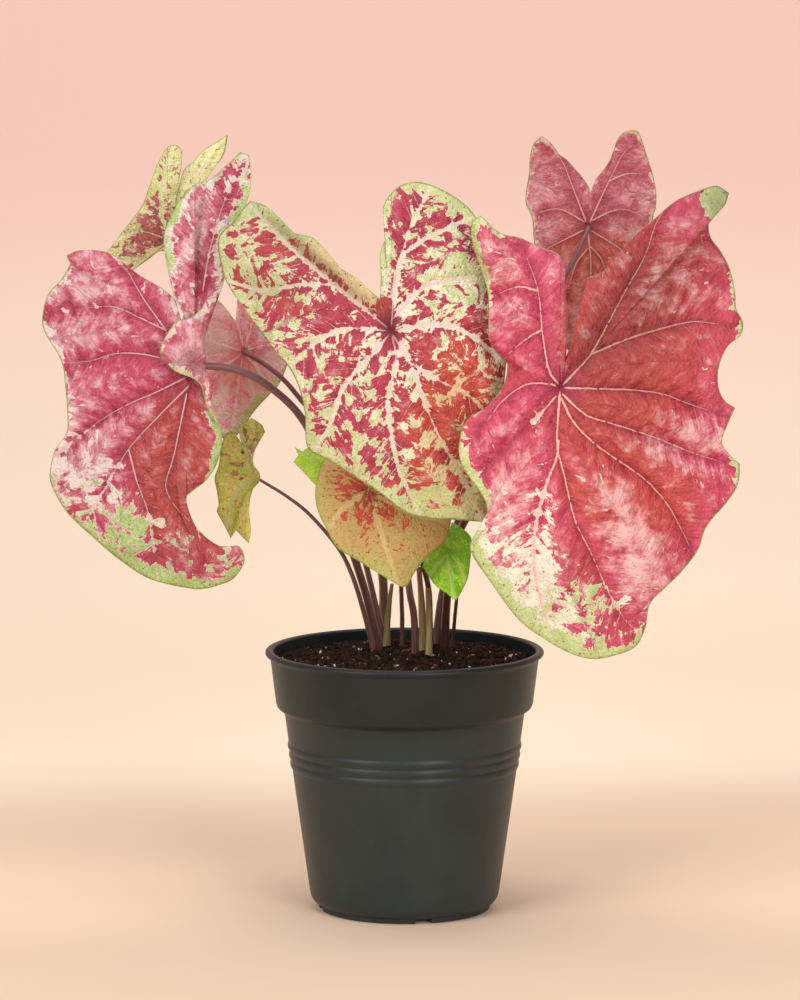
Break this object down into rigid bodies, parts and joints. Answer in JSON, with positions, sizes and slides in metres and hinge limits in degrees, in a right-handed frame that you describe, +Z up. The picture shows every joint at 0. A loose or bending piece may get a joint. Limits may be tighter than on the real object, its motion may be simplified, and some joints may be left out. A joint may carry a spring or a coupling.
{
  "type": "potted caladium",
  "caption": "Foliage plant with large arrow-shaped mottled leaves on slender stalks, rising from soil in a round ribbed grow pot with a rolled rim.",
  "frame": {"origin": "the middle of the pot's underside, on the plane it stands on", "axes": "+Z up; -Y towards the viewer, the side most of the leaves face; +X to the viewer's right, the side of the largest leaf"},
  "size_m": [0.4204, 0.2341, 0.4731],
  "materials": {
    "pot": "satin charcoal plastic",
    "soil": "moist crumbly potting mix with white perlite",
    "tuber": "rough corky skin",
    "blade_right": "thin waxy leaf, satin",
    "blade_centre": "thin waxy leaf, satin",
    "blade_left": "thin waxy leaf, satin",
    "blade_mid_left": "thin waxy leaf, satin",
    "blade_back_left": "thin waxy leaf, satin",
    "blade_back_right": "thin waxy leaf, satin",
    "blade_low_left": "thin waxy leaf, satin",
    "blade_low_centre": "thin waxy leaf, satin",
    "blade_low_right": "thin waxy leaf, satin",
    "blade_small": "thin waxy leaf, satin",
    "petiole": "smooth purple-brown stalk, satin",
    "petiole_olive": "smooth olive-brown stalk, satin",
    "sheath": "dry papery sheath"
  },
  "bodies": {
    "root": {"pot": "pot", "soil": "soil", "tuber": "tuber", "blade_right": "blade_right", "blade_centre": "blade_centre", "blade_left": "blade_left", "blade_mid_left": "blade_mid_left", "blade_back_left": "blade_back_left", "blade_back_right": "blade_back_right", "blade_low_left": "blade_low_left", "blade_low_centre": "blade_low_centre", "blade_low_right": "blade_low_right", "blade_small": "blade_small", "petiole_right": "petiole", "petiole_centre": "petiole", "petiole_left": "petiole", "petiole_mid_left": "petiole", "petiole_back_left": "petiole_olive", "petiole_back_right": "petiole", "petiole_low_left": "petiole", "petiole_low_centre": "petiole", "petiole_low_right": "petiole", "petiole_small": "petiole", "sheath_left": "sheath", "sheath_middle": "sheath", "sheath_right": "sheath"}
  },
  "joints": []
}
